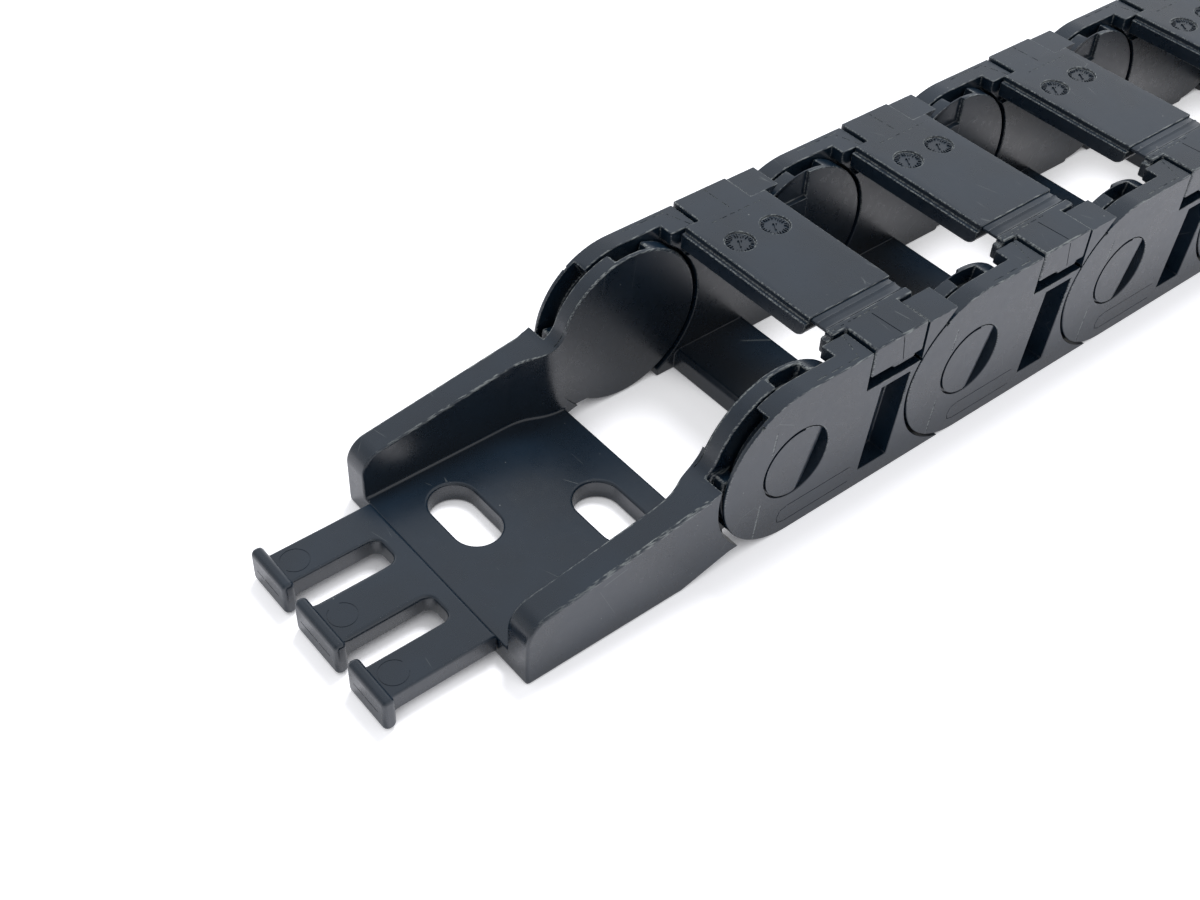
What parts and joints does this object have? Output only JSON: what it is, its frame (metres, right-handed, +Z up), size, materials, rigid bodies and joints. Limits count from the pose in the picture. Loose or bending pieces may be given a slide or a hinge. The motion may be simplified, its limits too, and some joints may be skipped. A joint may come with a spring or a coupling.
{
  "type": "cable drag chain",
  "caption": "Articulated plastic cable carrier: plug-together links with snap-open crossbars, mounting brackets with slots and a strain relief comb.",
  "frame": {"origin": "centre of the chain's footprint, on the ground plane under the straight chain", "axes": "+X along the chain from the fixed bracket to the moving one, +Z up, towards the inside of the bend, +Y across the links to the latch side of the crossbars"},
  "size_m": [0.2936, 0.036, 0.023],
  "materials": {
    "black_plastic": "satin moulded, fine grain"
  },
  "bodies": {
    "fixed_end": {"fixed_bracket": "black_plastic", "fixed_bracket_comb": "black_plastic"},
    "link_1": {"link_1_body": "black_plastic", "link_1_hinge_block": "black_plastic", "link_1_film_hinge": "black_plastic"},
    "crossbar_1": {"link_1_crossbar": "black_plastic"},
    "link_2": {"link_2_body": "black_plastic", "link_2_hinge_block": "black_plastic", "link_2_film_hinge": "black_plastic"},
    "crossbar_2": {"link_2_crossbar": "black_plastic"},
    "link_3": {"link_3_body": "black_plastic", "link_3_hinge_block": "black_plastic", "link_3_film_hinge": "black_plastic"},
    "crossbar_3": {"link_3_crossbar": "black_plastic"},
    "link_4": {"link_4_body": "black_plastic", "link_4_hinge_block": "black_plastic", "link_4_film_hinge": "black_plastic"},
    "crossbar_4": {"link_4_crossbar": "black_plastic"},
    "link_5": {"link_5_body": "black_plastic", "link_5_hinge_block": "black_plastic", "link_5_film_hinge": "black_plastic"},
    "crossbar_5": {"link_5_crossbar": "black_plastic"},
    "link_6": {"link_6_body": "black_plastic", "link_6_hinge_block": "black_plastic", "link_6_film_hinge": "black_plastic"},
    "crossbar_6": {"link_6_crossbar": "black_plastic"},
    "moving_end": {"moving_bracket": "black_plastic", "moving_bracket_comb": "black_plastic"}
  },
  "joints": [
    {"name": "pivot_1", "type": "hinge", "parent": "fixed_end", "child": "link_1", "pos_m": [-0.0915, 0, 0.0113], "axis": [0, -1, 0], "range_deg": [0, 47.32]},
    {"name": "pivot_2", "type": "hinge", "parent": "link_1", "child": "link_2", "pos_m": [-0.061, 0, 0.0113], "axis": [0, -1, 0], "range_deg": [0, 47.32]},
    {"name": "pivot_3", "type": "hinge", "parent": "link_2", "child": "link_3", "pos_m": [-0.0305, 0, 0.0113], "axis": [0, -1, 0], "range_deg": [0, 47.32]},
    {"name": "pivot_4", "type": "hinge", "parent": "link_3", "child": "link_4", "pos_m": [0, 0, 0.0113], "axis": [0, -1, 0], "range_deg": [0, 47.32]},
    {"name": "pivot_5", "type": "hinge", "parent": "link_4", "child": "link_5", "pos_m": [0.0305, 0, 0.0113], "axis": [0, 1, 0], "range_deg": [-47.32, 0]},
    {"name": "pivot_6", "type": "hinge", "parent": "link_5", "child": "link_6", "pos_m": [0.061, 0, 0.0113], "axis": [0, 1, 0], "range_deg": [-47.32, 0]},
    {"name": "pivot_7", "type": "hinge", "parent": "link_6", "child": "moving_end", "pos_m": [0.0915, 0, 0.0113], "axis": [0, 1, 0], "range_deg": [-47.32, 0]},
    {"name": "crossbar_1_hinge", "type": "hinge", "parent": "link_1", "child": "crossbar_1", "pos_m": [-0.07625, -0.01045, 0.0225], "axis": [-1, 0, 0], "range_deg": [-110, 0], "deforming": ["link_1_film_hinge"]},
    {"name": "crossbar_2_hinge", "type": "hinge", "parent": "link_2", "child": "crossbar_2", "pos_m": [-0.04575, -0.01045, 0.0225], "axis": [-1, 0, 0], "range_deg": [-110, 0], "deforming": ["link_2_film_hinge"]},
    {"name": "crossbar_3_hinge", "type": "hinge", "parent": "link_3", "child": "crossbar_3", "pos_m": [-0.01525, -0.01045, 0.0225], "axis": [-1, 0, 0], "range_deg": [-110, 0], "deforming": ["link_3_film_hinge"]},
    {"name": "crossbar_4_hinge", "type": "hinge", "parent": "link_4", "child": "crossbar_4", "pos_m": [0.01525, -0.01045, 0.0225], "axis": [-1, 0, 0], "range_deg": [-110, 0], "deforming": ["link_4_film_hinge"]},
    {"name": "crossbar_5_hinge", "type": "hinge", "parent": "link_5", "child": "crossbar_5", "pos_m": [0.04575, -0.01045, 0.0225], "axis": [1, 0, 0], "range_deg": [0, 110], "deforming": ["link_5_film_hinge"]},
    {"name": "crossbar_6_hinge", "type": "hinge", "parent": "link_6", "child": "crossbar_6", "pos_m": [0.07625, -0.01045, 0.0225], "axis": [1, 0, 0], "range_deg": [0, 110], "deforming": ["link_6_film_hinge"]}
  ]
}
